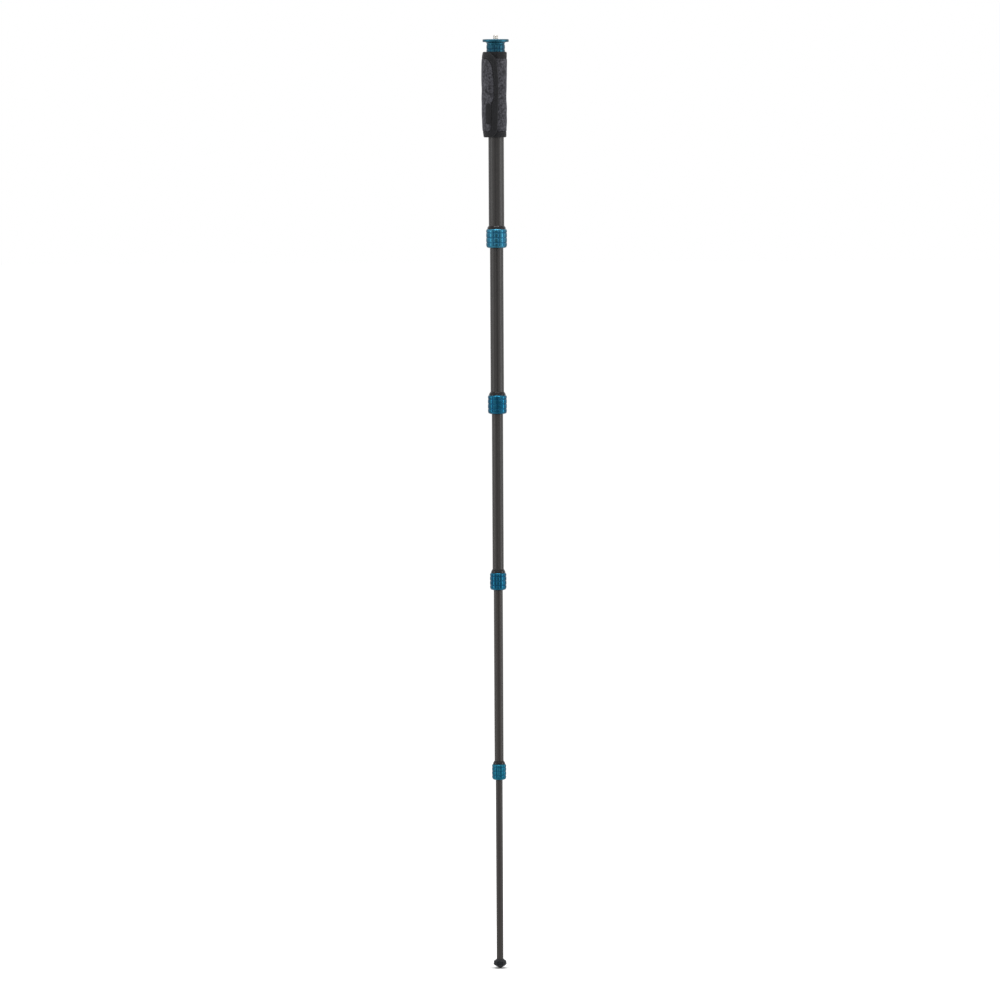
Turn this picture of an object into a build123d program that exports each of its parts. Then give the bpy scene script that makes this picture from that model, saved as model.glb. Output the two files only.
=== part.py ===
from build123d import *
import os
from math import cos, pi, radians, sin, tan

# Telescoping tubes, listed from the top section down
section_count = 5
top_tube_radius = 14.5
tube_wall = 1.3
slide_gap = 0.7
shown_lengths = [269.4, 292.6, 323.7, 341.7]
top_tube_shown = 164.9

# Twist locks, one at the foot of every tube but the last
lock_count = section_count - 1
collar_walls = [5.1, 5.5, 5.1, 5.1]
collar_lengths = [35.3, 35.0, 32.3, 29.6]
collar_turns = [-2.5, 13.5, -1.0, -4.0]
cone_heights = [5.9, 6.4, 6.5, 6.1]

# Pads on the collars and the neck: columns between flutes, rows between grooves
pad_columns = 12
flute_width = 3.0
flute_depth = 1.3
groove_depth = 1.1
groove_width = 4.4
groove_place_shares = [0.285, 0.55, 0.81]
top_bevel = 1.3
hip_height = 5.6
hip_radial = 2.2
toe_height = 1.9
toe_face = 2.1

# Fits inside a lock
running_gap = 0.05
bond_gap = 0.05
sleeve_wall = 1.95
sleeve_lift = 8.0
tube_seat_lift = 23.0
mouth_wall = 1.0
web_reach = 0.3
wedge_gap = 0.08
shoulder_gap = 0.3
shoulder_inset = 1.8
cone_edge = 0.4
lip_gap = 0.6
lip_height = 1.2
seal_wall = 1.6
seal_height = 2.6
floor_lift = 4.2
floor_gap = 0.1
collet_top_clearance = 3.0
collet_slit = 1.2
collet_slits = 4
collet_root = 5.5

# Guide shims that carry a tube's upper end inside the next larger tube
shim_length = 50.0
shim_angle = 168
shim_gap = 0.02
shim_stop_gap = 0.3
tube_reach = 6.0
key_width = 4.0
key_height = 0.45
keyway_depth = 0.55
keyway_play = 0.15
lug_width = 3.0
lug_height = 6.0
lug_play = 0.1

# Head: neck sleeve, camera plate and reversible stud
neck_wall = 3.0
neck_shown = 13.9
neck_foot_gap = 0.3
neck_groove_height = 5.0
neck_waist_depth = 1.0
neck_waist_height = 2.4
neck_roof = 4.0
plate_radius = 24.5
plate_thickness = 5.2
plate_bevel = 0.8
plate_root_radius = 19.5
plate_foot_radius = 16.6
plate_foot_height = 4.2
stud_radius = 4.7625
stud_shown = 8.0
stud_bevel = 0.9
stud_relief = 0.3
stud_flange_radius = 8.0
stud_flange_height = 3.0
stud_tail_radius = 3.175
stud_tail_length = 9.0

# Grip: a padded panel wrapped round the top tube and over its own edge
grip_length = 159.3
pad_thickness = 5.1
grip_gap = 0.3
fastening_space = 1.9
free_edge_angle = 6
inner_edge_angle = -124
climb_angle = 26
edge_gap_angle = 3
flap_top_round = 17.0
flap_bottom_round = 9.0
tape_width = 8.0
top_tape_width = 13.0
bottom_tape_width = 10.0
felt_round = 8.0
fastener_thickness = 0.8
fastener_gap = 0.1
fastener_width = 30.0
fastener_end_margin = 16.0
fastener_edge_angle = 9
label_width = 7.6
label_length = 39.0
label_thickness = 0.6
label_right = 7.7
label_low = 24.1

# Foot
foot_height = 17.2
foot_collar_edge = 0.4
foot_shoulder_radius = 11.8
foot_shoulder_height = 13.8
foot_band_radius = 12.6
foot_band_height = 7.0
foot_tip_radius = 2.0
plug_length = 24.0
plug_pin_radius = 3.0
plug_pin_length = 9.0
plug_pin_gap = 0.05

# One overrun for every cut
overrun = 1.0


tube_radii = [top_tube_radius - i * (tube_wall + slide_gap) for i in range(section_count)]
collar_radii = [tube_radii[lock] + collar_walls[lock] for lock in range(lock_count)]

# Height of each collar's lower face, worked up from the foot's tip
collar_bases = [0.0] * lock_count
level = foot_height
for lock in reversed(range(lock_count)):
    collar_bases[lock] = level + shown_lengths[lock]
    level = collar_bases[lock] + collar_lengths[lock] + shoulder_gap + cone_heights[lock]

grip_base = level + top_tube_shown
grip_top = grip_base + grip_length
neck_top = grip_top + neck_shown
plate_base = neck_top
plate_top = plate_base + plate_foot_height + plate_thickness


def turned(*points):
    """A solid of revolution about the pole's axis, from (radius, height) points."""
    outline = make_face(Polyline(*points, close=True).edges())
    return revolve(Plane.XZ * outline, Axis.Z)


def ring(inner, outer, low, high):
    """A plain ring between two radii and two heights."""
    return turned((inner, low), (outer, low), (outer, high), (inner, high))


def slab(width, depth, height, x, y, low):
    """A block centred on x and y that stands on the height low."""
    return Pos(x, y, low + height / 2) * Box(width, depth, height)


def around(solid, count):
    """Copies of a solid at equal turns about the pole's axis."""
    return [Rot(0, 0, 360 / count * i) * solid for i in range(count)]


def padded_body(radius, outline):
    """A solid core with flat-faced pads, from the outside's (radius, height) points, low to high."""
    low = outline[0][1]
    high = outline[-1][1]
    half_turn = pi / pad_columns
    root_radius = radius - flute_depth
    pad_half = radius * tan(half_turn) - flute_width / 2
    column_face = make_face(Polyline((0, low), *outline, (0, high), close=True).edges())
    column = extrude(Plane.XZ * column_face, radius, both=True)
    root_x = root_radius * cos(half_turn)
    root_y = root_radius * sin(half_turn)
    corners = [(0, 0), (root_x, -root_y), (radius, -pad_half), (radius, pad_half), (root_x, root_y)]
    wedge_face = make_face(Polyline(*corners, close=True).edges())
    wedge = Pos(0, 0, low) * extrude(wedge_face, high - low)
    sector = column & wedge
    return Part() + around(sector, pad_columns)


def grooved(radius, low, high, grooves):
    """The outside of a ribbed band: crests between V grooves at the heights given."""
    points = [(radius, low)]
    for height in grooves:
        points.append((radius, height - groove_width / 2))
        points.append((radius - groove_depth, height))
        points.append((radius, height + groove_width / 2))
    points.append((radius, high))
    return points


def lock_sizes(lock):
    """The heights and radii that the pieces of one lock share."""
    outer = tube_radii[lock]
    inner = tube_radii[lock + 1]
    base = collar_bases[lock]
    sleeve_radius = outer + bond_gap + sleeve_wall
    sizes = {
        "outer": outer,
        "inner": inner,
        "base": base,
        "sleeve_radius": sleeve_radius,
        "mouth_radius": sleeve_radius - mouth_wall,
        "web_radius": inner + web_reach,
        "sleeve_low": base + sleeve_lift,
        "seat": base + tube_seat_lift,
        "collar_top": base + collar_lengths[lock],
        "pocket_radius": inner + running_gap + seal_wall,
    }
    return sizes


def collar(lock):
    """Twist collar: a nut with pads outside, and a floor that pushes the collet up inside."""
    sizes = lock_sizes(lock)
    radius = collar_radii[lock]
    length = collar_lengths[lock]
    base = sizes["base"]
    grooves = [base + share * length for share in groove_place_shares]
    outline = [(sizes["inner"] + toe_face, base), (radius - hip_radial, base + toe_height)]
    outline += grooved(radius, base + hip_height, sizes["collar_top"] - top_bevel, grooves)
    outline.append((radius - top_bevel, sizes["collar_top"]))
    bore_radius = sizes["sleeve_radius"] + running_gap
    lip_radius = sizes["inner"] + lip_gap
    bore = turned(
        (0, base - overrun),
        (lip_radius, base - overrun),
        (lip_radius, base + lip_height),
        (sizes["pocket_radius"], base + lip_height),
        (sizes["pocket_radius"], base + floor_lift),
        (bore_radius, base + floor_lift),
        (bore_radius, sizes["collar_top"] + overrun),
        (0, sizes["collar_top"] + overrun),
    )
    return Rot(0, 0, collar_turns[lock]) * (padded_body(radius, outline) - bore)


def lock_body(lock):
    """Sleeve bonded over a tube's end: cone above the collar, tapered mouth for the collet below."""
    sizes = lock_sizes(lock)
    socket = sizes["outer"] + bond_gap
    shoulder = sizes["collar_top"] + shoulder_gap
    cone_top = shoulder + cone_heights[lock]
    return turned(
        (sizes["mouth_radius"], sizes["sleeve_low"]),
        (sizes["sleeve_radius"], sizes["sleeve_low"]),
        (sizes["sleeve_radius"], shoulder),
        (collar_radii[lock] - shoulder_inset, shoulder),
        (socket + cone_edge, cone_top),
        (socket, cone_top),
        (socket, sizes["seat"]),
        (sizes["web_radius"], sizes["seat"]),
    )


def collet(lock):
    """Split tapered bush that closes on the inner tube as the collar drives it into the mouth."""
    sizes = lock_sizes(lock)
    bore = sizes["inner"] + running_gap
    low = sizes["base"] + floor_lift + floor_gap
    high = sizes["seat"] - collet_top_clearance
    slope = (sizes["mouth_radius"] - sizes["web_radius"]) / (sizes["seat"] - sizes["sleeve_low"])
    low_radius = sizes["mouth_radius"] + slope * (sizes["sleeve_low"] - low) - wedge_gap
    high_radius = sizes["web_radius"] + slope * collet_top_clearance - wedge_gap
    bush = turned((bore, low), (low_radius, low), (high_radius, high), (bore, high))
    depth = low_radius + overrun
    split = slab(depth, collet_slit, high - low + 2 * overrun, depth / 2, 0, low - overrun)
    slit_low = low + collet_root
    slit = slab(depth, collet_slit, high - slit_low + overrun, depth / 2, 0, slit_low)
    return bush - [split] - around(slit, collet_slits)[1:]


def seal_ring(lock):
    """Wiper ring in the collar's lip."""
    sizes = lock_sizes(lock)
    low = sizes["base"] + lip_height
    return ring(sizes["inner"] + running_gap, sizes["pocket_radius"], low, low + seal_height)


def tube_low(section):
    """Height of a tube's lower end."""
    if section == section_count - 1:
        return foot_height
    return lock_sizes(section)["seat"]


def tube_high(section):
    """Height of a tube's upper end."""
    if section == 0:
        return neck_top - neck_roof
    return shim_low(section) + shim_length + tube_reach


def shim_low(section):
    """Height of the shims' lower end, which rests on the stop of the lock above."""
    return lock_sizes(section - 1)["seat"] + shim_stop_gap


def lug_low(section):
    """Height of the lugs that hold the shims in their tube."""
    return shim_low(section) + (shim_length - lug_height) / 2


def tube(section):
    """One carbon tube, with keyways inside and lug slots near its upper end where it has them."""
    radius = tube_radii[section]
    low = tube_low(section)
    high = tube_high(section)
    body = ring(radius - tube_wall, radius, low, high)
    if section < section_count - 1:
        width = key_width + 2 * keyway_play
        bore_depth = radius - tube_wall + keyway_depth
        body -= slab(width, 2 * bore_depth, high - low + 2 * overrun, 0, 0, low - overrun)
    if section > 0:
        width = lug_width + 2 * lug_play
        height = lug_height + 2 * lug_play
        body -= slab(width, 2 * (radius + overrun), height, 0, 0, lug_low(section) - lug_play)
    return body


def guide_shims(section):
    """Two half shells on a tube's upper end, each with a key outside and a lug through the wall."""
    inner = tube_radii[section] + shim_gap
    outer = tube_radii[section - 1] - tube_wall - running_gap
    low = shim_low(section)
    reach = 2 * outer
    half_angle = radians(shim_angle / 2)
    side_x = reach * sin(half_angle)
    side_y = reach * cos(half_angle)
    fan = make_face(Polyline((0, 0), (side_x, side_y), (0, reach), (-side_x, side_y), close=True).edges())
    shell = ring(inner, outer, low, low + shim_length) & (Pos(0, 0, low) * extrude(fan, shim_length))
    middle = (inner + outer) / 2
    key_reach = outer + key_height - middle
    key = slab(key_width, key_reach, shim_length, 0, middle + key_reach / 2, low)
    lug_reach = middle - (tube_radii[section] - tube_wall + keyway_depth)
    lug = slab(lug_width, lug_reach, lug_height, 0, middle - lug_reach / 2, lug_low(section))
    half = shell + key + lug
    return Part() + around(half, 2)


def neck_sleeve():
    """Fluted sleeve bonded over the top tube, closed above by a roof that takes the stud."""
    neck_radius = top_tube_radius + neck_wall
    low = grip_top + neck_foot_gap
    groove = grip_top + neck_groove_height
    outline = grooved(neck_radius, low, neck_top - neck_waist_height, [groove])
    outline.append((neck_radius - neck_waist_depth, neck_top))
    socket = top_tube_radius + bond_gap
    tail = stud_tail_radius + bond_gap
    hollow = turned(
        (0, low - overrun),
        (socket, low - overrun),
        (socket, tube_high(0)),
        (tail, tube_high(0)),
        (tail, neck_top + overrun),
        (0, neck_top + overrun),
    )
    return padded_body(neck_radius, outline) - hollow


def camera_plate():
    """Round plate that the camera or head screws down on, with a waisted root on the neck."""
    under = plate_top - plate_thickness
    hole = stud_radius + bond_gap
    pocket = stud_flange_radius + bond_gap
    pocket_top = plate_base + stud_flange_height
    return turned(
        (pocket, plate_base),
        (plate_foot_radius, plate_base),
        (plate_root_radius, under),
        (plate_radius - plate_bevel, under),
        (plate_radius, under + plate_bevel),
        (plate_radius, plate_top - plate_bevel),
        (plate_radius - plate_bevel, plate_top),
        (hole, plate_top),
        (hole, pocket_top),
        (pocket, pocket_top),
    )


def camera_stud():
    """Reversible stud: the wide thread stands on the plate, the narrow one waits in the neck."""
    flange_top = plate_base + stud_flange_height
    top = plate_top + stud_shown
    return turned(
        (0, plate_base - stud_tail_length),
        (stud_tail_radius, plate_base - stud_tail_length),
        (stud_tail_radius, plate_base),
        (stud_flange_radius, plate_base),
        (stud_flange_radius, flange_top),
        (stud_radius - stud_relief, flange_top),
        (stud_radius - stud_relief, plate_top),
        (stud_radius, plate_top),
        (stud_radius, top - stud_bevel),
        (stud_radius - stud_bevel, top),
        (0, top),
    )


def grip_point(radius, angle):
    """A point in plan, with the angle from the front, positive to the right."""
    return (radius * sin(radians(angle)), -radius * cos(radians(angle)))


def grip_arc(radius, start, end):
    """An arc in plan about the pole's axis."""
    middle = (start + end) / 2
    points = [grip_point(radius, angle) for angle in (start, middle, end)]
    return ThreePointArc(*points).edge()


inner_face_radius = top_tube_radius + grip_gap
first_turn_radius = inner_face_radius + pad_thickness
flap_inner_radius = first_turn_radius + fastening_space
flap_outer_radius = flap_inner_radius + pad_thickness
climb_start_angle = inner_edge_angle + 360 - edge_gap_angle - climb_angle
climb_end_angle = climb_start_angle + climb_angle
flap_end_angle = free_edge_angle + 360


def panel_section():
    """The wrapped panel in plan: a full turn, a climb over its first edge, and the flap."""
    low_in = inner_face_radius
    low_out = first_turn_radius
    high_in = flap_inner_radius
    high_out = flap_outer_radius
    start = inner_edge_angle
    end = flap_end_angle
    half = (start + climb_start_angle) / 2
    lines = [
        grip_arc(low_in, start, half),
        grip_arc(low_in, half, climb_start_angle),
        Line(grip_point(low_in, climb_start_angle), grip_point(high_in, climb_end_angle)).edge(),
        grip_arc(high_in, climb_end_angle, end),
        Line(grip_point(high_in, end), grip_point(high_out, end)).edge(),
        grip_arc(high_out, end, climb_end_angle),
        Line(grip_point(high_out, climb_end_angle), grip_point(low_out, climb_start_angle)).edge(),
        grip_arc(low_out, climb_start_angle, half),
        grip_arc(low_out, half, start),
        Line(grip_point(low_out, start), grip_point(low_in, start)).edge(),
    ]
    return make_face(lines)


def flap_corner(corner_round, corner_height, up):
    """What the rounded corner of the flap leaves off, in front of the first turn only."""
    edge_x = grip_point(flap_outer_radius, free_edge_angle)[0] + overrun
    round_x = edge_x - overrun - corner_round
    square = make_face(
        Polyline(
            (round_x, corner_height - up * corner_round),
            (round_x, corner_height + up * overrun),
            (edge_x, corner_height + up * overrun),
            (edge_x, corner_height - up * corner_round),
            close=True,
        ).edges()
    )
    disc = Pos(round_x, corner_height - up * corner_round) * Circle(corner_round)
    leftover = extrude(Plane.XZ * (square - disc), flap_outer_radius + overrun)
    clear = (first_turn_radius + flap_inner_radius) / 2
    core = ring(0, clear, grip_base - overrun, grip_top + overrun)
    return leftover - core


def grip_pieces():
    """The felt-faced pad and the tape that binds its edges, cut from one wrapped panel."""
    whole = Pos(0, 0, grip_base) * extrude(panel_section(), grip_length)
    whole -= [flap_corner(flap_top_round, grip_top, 1), flap_corner(flap_bottom_round, grip_base, -1)]
    free_x = grip_point(flap_outer_radius, free_edge_angle)[0] - tape_width
    far = 2 * flap_outer_radius
    felt_low = grip_base + bottom_tape_width
    felt_high = grip_top - top_tape_width
    corners = [(-far, felt_low), (free_x, felt_low), (free_x, felt_high), (-far, felt_high)]
    window = make_face(Polyline(*corners, close=True).edges())
    window = fillet(window.vertices().group_by(Axis.X)[-1], felt_round)
    flap_zone = extrude(Plane.XZ * window, far)
    first_turn = ring(0, first_turn_radius + fastening_space / 2, felt_low, felt_high)
    behind = slab(2 * far, far, felt_high - felt_low, 0, far / 2, felt_low)
    pad = whole & (flap_zone + first_turn + behind)
    tape = whole - pad
    return pad, tape


def fastener_strip(radius):
    """A curved strip of hook or loop tape between the first turn and the flap."""
    low = grip_base + fastener_end_margin
    high = grip_top - fastener_end_margin
    end = free_edge_angle - fastener_edge_angle
    start = end - fastener_width / (first_turn_radius * radians(1))
    outer = radius + fastener_thickness
    face = make_face(
        [
            grip_arc(radius, start, end),
            Line(grip_point(radius, end), grip_point(outer, end)).edge(),
            grip_arc(outer, end, start),
            Line(grip_point(outer, start), grip_point(radius, start)).edge(),
        ]
    )
    return Pos(0, 0, low) * extrude(face, high - low)


def grip_label():
    """Small bare woven label sewn on the flap, beside its taped edge."""
    radius = flap_outer_radius
    low = grip_base + label_low
    window = slab(label_width, radius + overrun, label_length,
                  -label_right - label_width / 2, -(radius + overrun) / 2, low)
    return ring(radius, radius + label_thickness, low, low + label_length) & window


def foot_plug():
    """Aluminium plug bonded in the last tube, with the threaded pin that takes the foot."""
    radius = tube_radii[-1] - tube_wall - bond_gap
    low = foot_height
    return turned(
        (0, low - plug_pin_length),
        (plug_pin_radius, low - plug_pin_length),
        (plug_pin_radius, low),
        (radius, low),
        (radius, low + plug_length),
        (0, low + plug_length),
    )


def rubber_foot():
    """Rubber foot with a sloped shoulder, a flared band and a blunt cone to stand on."""
    socket = plug_pin_radius + plug_pin_gap
    socket_low = foot_height - plug_pin_length - plug_pin_gap
    return turned(
        (0, 0),
        (foot_tip_radius, 0),
        (foot_band_radius, foot_band_height),
        (foot_shoulder_radius, foot_shoulder_height),
        (tube_radii[-1] + foot_collar_edge, foot_height),
        (socket, foot_height),
        (socket, socket_low),
        (0, socket_low),
    )


grip_pad, grip_binding = grip_pieces()
loop_radius = first_turn_radius + fastener_gap
hook_radius = flap_inner_radius - fastener_gap - fastener_thickness

pieces = {
    "camera_stud": camera_stud(),
    "camera_plate": camera_plate(),
    "neck_sleeve": neck_sleeve(),
    "grip_pad": grip_pad,
    "grip_binding": grip_binding,
    "grip_loop_strip": fastener_strip(loop_radius),
    "grip_hook_strip": fastener_strip(hook_radius),
    "grip_label": grip_label(),
    "foot_plug": foot_plug(),
    "rubber_foot": rubber_foot(),
}
for section in range(section_count):
    pieces[f"tube_{section + 1}"] = tube(section)
    if section > 0:
        pieces[f"guide_shims_{section + 1}"] = guide_shims(section)
for lock in range(lock_count):
    pieces[f"lock_body_{lock + 1}"] = lock_body(lock)
    pieces[f"collet_{lock + 1}"] = collet(lock)
    pieces[f"collar_{lock + 1}"] = collar(lock)
    pieces[f"seal_ring_{lock + 1}"] = seal_ring(lock)

os.makedirs("parts", exist_ok=True)
for name, piece in pieces.items():
    solids = list(piece.solids())
    shape = Compound(children=solids) if len(solids) > 1 else solids[0]
    export_step(shape, f"parts/{name}.step")
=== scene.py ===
from math import ceil, cos, hypot, pi, radians, sin, sqrt, tan

import bmesh
import bpy
import numpy as np
from mathutils import Matrix, Vector

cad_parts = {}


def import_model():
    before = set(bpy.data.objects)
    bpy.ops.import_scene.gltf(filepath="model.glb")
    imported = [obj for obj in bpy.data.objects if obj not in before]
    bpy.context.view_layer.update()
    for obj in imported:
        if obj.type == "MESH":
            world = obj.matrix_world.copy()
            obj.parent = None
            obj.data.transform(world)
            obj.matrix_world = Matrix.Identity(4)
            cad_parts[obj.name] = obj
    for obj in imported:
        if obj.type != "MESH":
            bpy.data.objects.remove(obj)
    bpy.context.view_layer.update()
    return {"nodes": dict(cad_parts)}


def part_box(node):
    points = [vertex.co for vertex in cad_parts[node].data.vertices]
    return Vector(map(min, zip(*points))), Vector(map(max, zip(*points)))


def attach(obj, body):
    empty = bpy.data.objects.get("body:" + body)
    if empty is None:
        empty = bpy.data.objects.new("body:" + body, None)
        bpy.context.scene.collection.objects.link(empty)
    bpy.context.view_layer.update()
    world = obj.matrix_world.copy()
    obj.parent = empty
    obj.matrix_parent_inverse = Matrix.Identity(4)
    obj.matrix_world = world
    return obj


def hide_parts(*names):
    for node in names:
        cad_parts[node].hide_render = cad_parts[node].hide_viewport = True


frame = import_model()
nodes = frame["nodes"]

# Lengths are in millimetres and angles in degrees until a mesh is made
mm = 0.001
full_turn = 360

# Camera: near the height of the plate, far off, tilted down on the pole
camera_distance = 9500.0
camera_height = 1650.0
camera_tilt = 4.5846
camera_roll = -0.276
camera_pan = -0.0243
camera_lens = 182.63
camera_clip_end = 100000.0

# Studio: white to the camera and in reflections, with a dark room in front seen in reflections alone
world_strength = 0.6
floor_reach = 40000.0
floor_drop = 0.2
floor_shadow_radius = 8.0
floor_lit_radius = 30.0
floor_emission = 0.42
dark_half_width = 700.0
dark_near = 250.0
dark_away = 3400.0
dark_height = 2300.0
dark_fade_height = 1500.0

# Each lamp's name, place, target, width, height and radiance
lamps = [
    ("overhead", (0, -300, 3600), (0, 0, 1300), 1800, 900, 6.5),
    ("front", (-200, -3300, 3100), (0, 0, 1200), 1200, 700, 2.5),
    ("right_strip", (2500, -700, 1100), (0, 0, 900), 900, 2600, 3.3),
    ("left_strip", (-2500, -700, 1100), (0, 0, 900), 700, 2600, 2.6),
]

# Meshes: samples, the shortest edges kept, and the angles past which shading turns sharp
round_samples = 96
corner_samples = 5
rib_samples = 9
merge_distance = 0.005
least_edge = 0.001
crisp_angle = 35
mild_angle = 50
soft_angle = 60

# Materials: how far painted shade darkens seams and grooves, noise detail, sizes of blotches, grain and
# threads, and depths of bump
recess_shade_share = 0.8
fine_detail = 2.0
usual_detail = 3.0
rich_detail = 4.0
anodised_cloud = 9.0
anodised_grain = 0.35
anodised_smoother = 0.06
anodised_rougher = 0.08
anodised_bump = 0.02
tow_width = 3.0
tow_fibre = 0.5
tow_bump = 0.05
twill_repeat = 4.0
carbon_warmths = [1, 2, 3, 6, 6]
smear_size = 5.0
turning_mark = 0.12
aluminium_grain = 0.4
moulded_blotch = 3.0
moulded_grain = 0.5
moulded_rougher = 0.08
moulded_bump = 0.03
fleece_blotch = 4.5
fleece_speckle = 1.3
fleece_fibre = 0.4
fleece_bump = 0.35
cloth_blotch = 2.5
cloth_bump = 0.08
threads_round_pole = 150.0
tape_rib = 0.9
fastener_rib = 0.6
label_rib = 0.5
thread_rib = 0.4

# Collars and neck
pad_columns = 12
column_samples = 24
row_step = 0.5
flute_width = 3.0
flute_depth = 1.3
groove_depth = 0.8
groove_place_shares = [0.285, 0.55, 0.81]
collar_walls = [5.1, 5.5, 5.1, 5.1]
collar_turns = [-2.5, 13.5, -1.0, -4.0]
collar_hip_height = 4.4
collar_hip_in = 1.5
collar_toe_height = 1.2
collar_hip_round = 2.2
collar_top_bevel = 1.7
collar_bevel_in = 1.4
collar_toe_face = 2.1
collar_lip_gap = 0.6
collar_lip_height = 1.2
collar_pocket_gap = 1.65
collar_floor_lift = 4.2
collar_bore_gap = 2.05
edge_softness = 0.2
pad_crown = 0.35
rib_crown = 0.2
groove_half_width = 1.3
neck_wall = 3.0
neck_groove_height = 5.0
neck_waist_depth = 1.0
neck_waist_height = 2.4
neck_socket_gap = 0.05
neck_roof = 4.0
neck_tail_radius = 3.225
neck_turn = 7.5

# Lock bodies
cone_gap = 0.8
cone_edge = 0.45
cone_shoulder_inset = 1.8
cone_bulge = 0.7
cone_round = 4.0
cone_foot_round = 0.3
cone_top_round = 1.0
sleeve_gap = 2.0
mouth_gap = 1.0
socket_gap = 0.05
web_reach = 0.3
seat_lift = 15.0

# Camera plate and stud
plate_round = 1.5
plate_thickness = 5.2
plate_foot_radius = 16.6
plate_root_radius = 19.5
plate_root_round = 3.0
plate_root_flare = 0.3
plate_root_drop = 1.6
plate_pocket_radius = 8.05
plate_bore_gap = 0.05
plate_samples = 128
stud_radius = 4.7625
stud_thread_pitch = 1.5875
stud_thread_depth = 0.9
stud_thread_rows = 64
stud_samples = 48
stud_shown = 8.0
stud_flange_radius = 8.0
stud_flange_height = 3.0
stud_tail_radius = 3.175
stud_relief = 0.3
stud_lead_in = 0.9

# Grip
pad_thickness = 5.1
pad_mesh_columns = 190
pad_mesh_rows = 130
pad_crowding_power = 1.15
rim_run = 2.5
grip_gap = 0.3
fastening_space = 1.9
free_edge_angle = 6.0
inner_edge_angle = -124.0
climb_angle = 26.0
edge_gap_angle = 3.0
flap_top_round = 27.0
flap_bottom_round = 18.0
height_blend_share = 0.02
felt_swell = 0.45
swell_run = 3.0
swell_start_share = 0.2
# How far painted shade reaches either side of the fleece's seam with the tape
seam_shade_reach = 2.2
wave_count = 12
wave_rates = (0.05, 0.3)
wave_level = 5
rumple_depth = 0.22

# Where the flap covers the first turn and presses it in, and how far
cover_start_angle = 8.0
cover_end_angle = 10.0
cover_overlap_angle = 4.0
cover_draw_limit = 1.2
cover_draw_share = 0.6
thinning_share = 0.3

# How far the flap and the first turn are drawn in, by share of the grip's height
flap_draw_in_by_share = [(0.0, 3.7), (0.06, 2.4), (0.18, 1.0), (0.35, 0.5), (0.5, 0.6), (0.7, 0.35),
                         (0.86, 0.35), (0.95, 1.2), (1.0, 2.9)]
turn_draw_in_by_share = [(0.0, 0.5), (0.09, 0.6), (0.2, -0.1), (0.38, 0.0), (0.5, 0.8), (0.66, -0.2),
                         (0.85, -0.6), (1.0, -0.9)]

# How far the free edge wanders round the pole, and the width of its tape, by the same share
edge_lean_by_share = [(0.0, 0.0), (0.1, 0.0), (0.2, 2.5), (0.35, 3.0), (0.5, 5.5), (0.66, 5.0),
                      (0.78, 2.5), (0.85, 0.0)]
side_tape_width_by_share = [(0.38, 13.2), (0.44, 8.8), (0.69, 8.8), (0.79, 9.9), (0.87, 10.4)]

# Tape, stitches and label
top_tape_width = 12.0
bottom_tape_width = 10.5
corner_tape_swell = 1.2
tape_thickness = 0.9
tape_step = 1.5
tape_corner_steps = 14
tape_fold = 2.2
tape_fold_samples = 7
# Painted shade beside the tape's fold, and over a share of its width at the seam
tape_fold_shade = 2.5
tape_seam_shade_share = 0.2
tape_fold_in_share = 0.7
tape_sink_share = 0.85
stitch_pitch = 3.4
stitch_length = 2.3
stitch_radius = 0.3
stitch_margin = 1.6
stitch_end_share = 0.05
stitch_path_step = 0.5
stitch_rings = 5
stitch_sides = 6
label_width = 9.4
label_end_width = 0.8
label_length = 39.0
label_thickness = 0.55
label_sink = 0.2
label_right = 9.2
label_low = 24.1
label_rows = 41
label_columns = 13

# Foot
foot_band_radius = 12.6
foot_band_height = 7.0
foot_shoulder_radius = 11.8
foot_shoulder_height = 13.8
foot_shoulder_round = 0.5
foot_tip_radius = 2.0
foot_edge_round = 0.8
foot_lip = 0.4
foot_lip_round = 0.3
foot_socket_radius = 3.05
foot_socket_depth = 9.05
foot_row_step = 1.2
facet_start = 8.0
facet_run = 3.0
facet_depth = 0.7
facet_power = 3

# Sections, locks and the seed of what is random
tube_count = 5
lock_count = tube_count - 1
random = np.random.default_rng(7)


def box(node):
    """Lowest and highest corner of a CAD node, in millimetres."""
    low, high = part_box(node)
    return np.array(low) / mm, np.array(high) / mm


def heights(node):
    """Lowest and highest height of a CAD node."""
    low, high = box(node)
    return low[2], high[2]


def radius_of(node):
    """Radius of a round CAD node."""
    return box(node)[1][0]


def finish_mesh(name, points, faces, sharp_angle=crisp_angle, recess_shade=None):
    """An object from points in millimetres and faces, closed up, with smooth shading up to an angle.

    Each point's share of sinking into seams or grooves is kept on the mesh, and its material paints shade
    there.
    """
    mesh = bpy.data.meshes.new(name)
    mesh.from_pydata([tuple(point) for point in np.asarray(points) * mm], [], faces)
    if recess_shade is not None:
        layer = mesh.attributes.new("recess_shade", "FLOAT", "POINT")
        layer.data.foreach_set("value", np.asarray(recess_shade, dtype=np.float32).ravel())
    shape = bmesh.new()
    shape.from_mesh(mesh)
    bmesh.ops.remove_doubles(shape, verts=shape.verts, dist=merge_distance * mm)
    bmesh.ops.dissolve_degenerate(shape, edges=shape.edges, dist=least_edge * mm)
    bmesh.ops.recalc_face_normals(shape, faces=shape.faces)
    shape.to_mesh(mesh)
    shape.free()
    mesh.shade_smooth()
    mesh.set_sharp_from_angle(angle=radians(sharp_angle))
    made = bpy.data.objects.new(name, mesh)
    bpy.context.scene.collection.objects.link(made)
    return made


def grid_faces(rows, columns, closed_rows, closed_columns, start=0):
    """Quads over a grid of points, joined end to start where it is closed."""
    faces = []
    for i in range(rows if closed_rows else rows - 1):
        for j in range(columns if closed_columns else columns - 1):
            a = i * columns + j
            b = i * columns + (j + 1) % columns
            c = (i + 1) % rows * columns + (j + 1) % columns
            d = (i + 1) % rows * columns + j
            faces.append((start + a, start + b, start + c, start + d))
    return faces


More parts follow.
